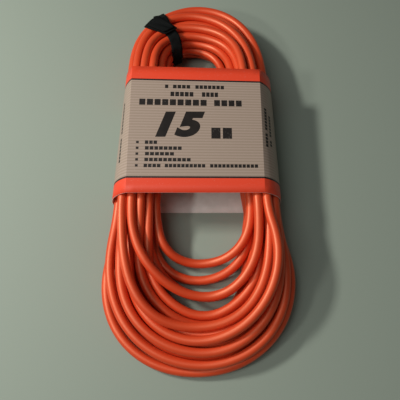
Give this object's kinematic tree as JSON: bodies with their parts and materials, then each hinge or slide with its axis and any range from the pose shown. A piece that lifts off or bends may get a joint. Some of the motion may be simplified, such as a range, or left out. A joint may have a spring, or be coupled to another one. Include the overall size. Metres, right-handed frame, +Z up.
{
  "type": "extension cord",
  "caption": "Round three-core extension cord wound in a long flat hank, with moulded plug and connector inside, a folded card sleeve that slides on it and a tie strap.",
  "frame": {"origin": "on the floor under the middle of the hank's outline", "axes": "+Z up from the floor, +Y along the hank from its fanned loops to its tied arch, +X to the right with the sleeve's printed front up"},
  "size_m": [0.168, 0.369, 0.0542],
  "materials": {
    "cord_jacket": "smooth satin PVC, orange-red",
    "moulding": "moulded satin PVC, orange-red",
    "core_plastic": "matt black thermoset",
    "brass": "stamped brass",
    "line_insulation": "black PVC insulation",
    "neutral_insulation": "white PVC insulation",
    "ground_insulation": "green PVC insulation",
    "printed_card": "coated card printed orange-red, black and taupe, white inside",
    "tie": "black woven strap"
  },
  "bodies": {
    "cord": {"cord_hank": "cord_jacket", "plug_lead": "cord_jacket", "connector_lead": "cord_jacket", "plug_body": "moulding", "plug_bridge": "core_plastic", "plug_line_blade": "brass", "plug_neutral_blade": "brass", "plug_ground_pin": "brass", "plug_line_wire": "line_insulation", "plug_neutral_wire": "neutral_insulation", "plug_ground_wire": "ground_insulation", "connector_body": "moulding", "connector_core": "core_plastic", "connector_line_contact": "brass", "connector_neutral_contact": "brass", "connector_ground_contact": "brass", "connector_line_wire": "line_insulation", "connector_neutral_wire": "neutral_insulation", "connector_ground_wire": "ground_insulation", "tie_strap": "tie"},
    "sleeve": {"card_sleeve": "printed_card"}
  },
  "joints": [
    {"name": "sleeve_slide", "type": "slide", "parent": "cord", "child": "sleeve", "axis": [0, 1, 0], "range_m": [-0.004, 0.02]}
  ]
}
